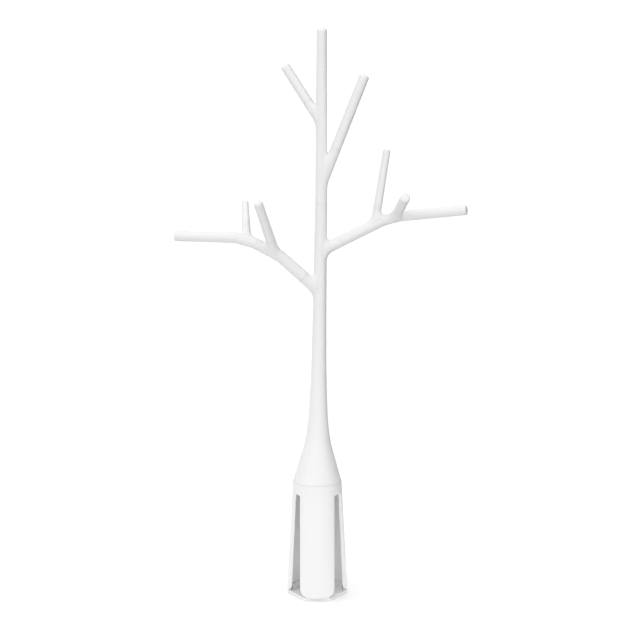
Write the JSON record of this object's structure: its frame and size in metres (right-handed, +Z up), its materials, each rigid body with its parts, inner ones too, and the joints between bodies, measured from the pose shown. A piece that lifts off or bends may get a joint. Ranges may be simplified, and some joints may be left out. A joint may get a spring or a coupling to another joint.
{
  "type": "bottle drying rack",
  "caption": "Tree-shaped drying rack for baby bottles and small parts: a slotted three-prong base, a flared trunk and rod limbs with upright twigs.",
  "frame": {"origin": "centre of the foot plate's underside, on the base's axis", "axes": "+Z up along the trunk, -Y the front, +X towards the right limb"},
  "size_m": [0.1545, 0.0364, 0.305],
  "materials": {
    "white_plastic": "satin moulded ABS"
  },
  "bodies": {
    "base": {"foot_plate": "white_plastic", "prong_base": "white_plastic"},
    "trunk": {"trunk": "white_plastic"},
    "left_limb": {"left_limb": "white_plastic", "left_front_twig": "white_plastic", "left_rear_twig": "white_plastic"},
    "right_limb": {"right_limb": "white_plastic", "right_tall_twig": "white_plastic", "right_front_twig": "white_plastic"},
    "crown": {"crown_stem": "white_plastic", "crown_left_twig": "white_plastic", "crown_right_branch": "white_plastic"}
  },
  "joints": [
    {"name": "trunk_lift", "type": "slide", "parent": "base", "child": "trunk", "axis": [0, 0, 1], "range_m": [0, 0.006]},
    {"name": "left_limb_pull", "type": "slide", "parent": "trunk", "child": "left_limb", "axis": [-0.7271, -0.138, 0.6726], "range_m": [0, 0.01]},
    {"name": "right_limb_pull", "type": "slide", "parent": "trunk", "child": "right_limb", "axis": [0.8981, 0.1086, 0.4261], "range_m": [0, 0.01]},
    {"name": "crown_lift", "type": "slide", "parent": "trunk", "child": "crown", "axis": [0.0137, 0, 0.9999], "range_m": [0, 0.0105]}
  ]
}
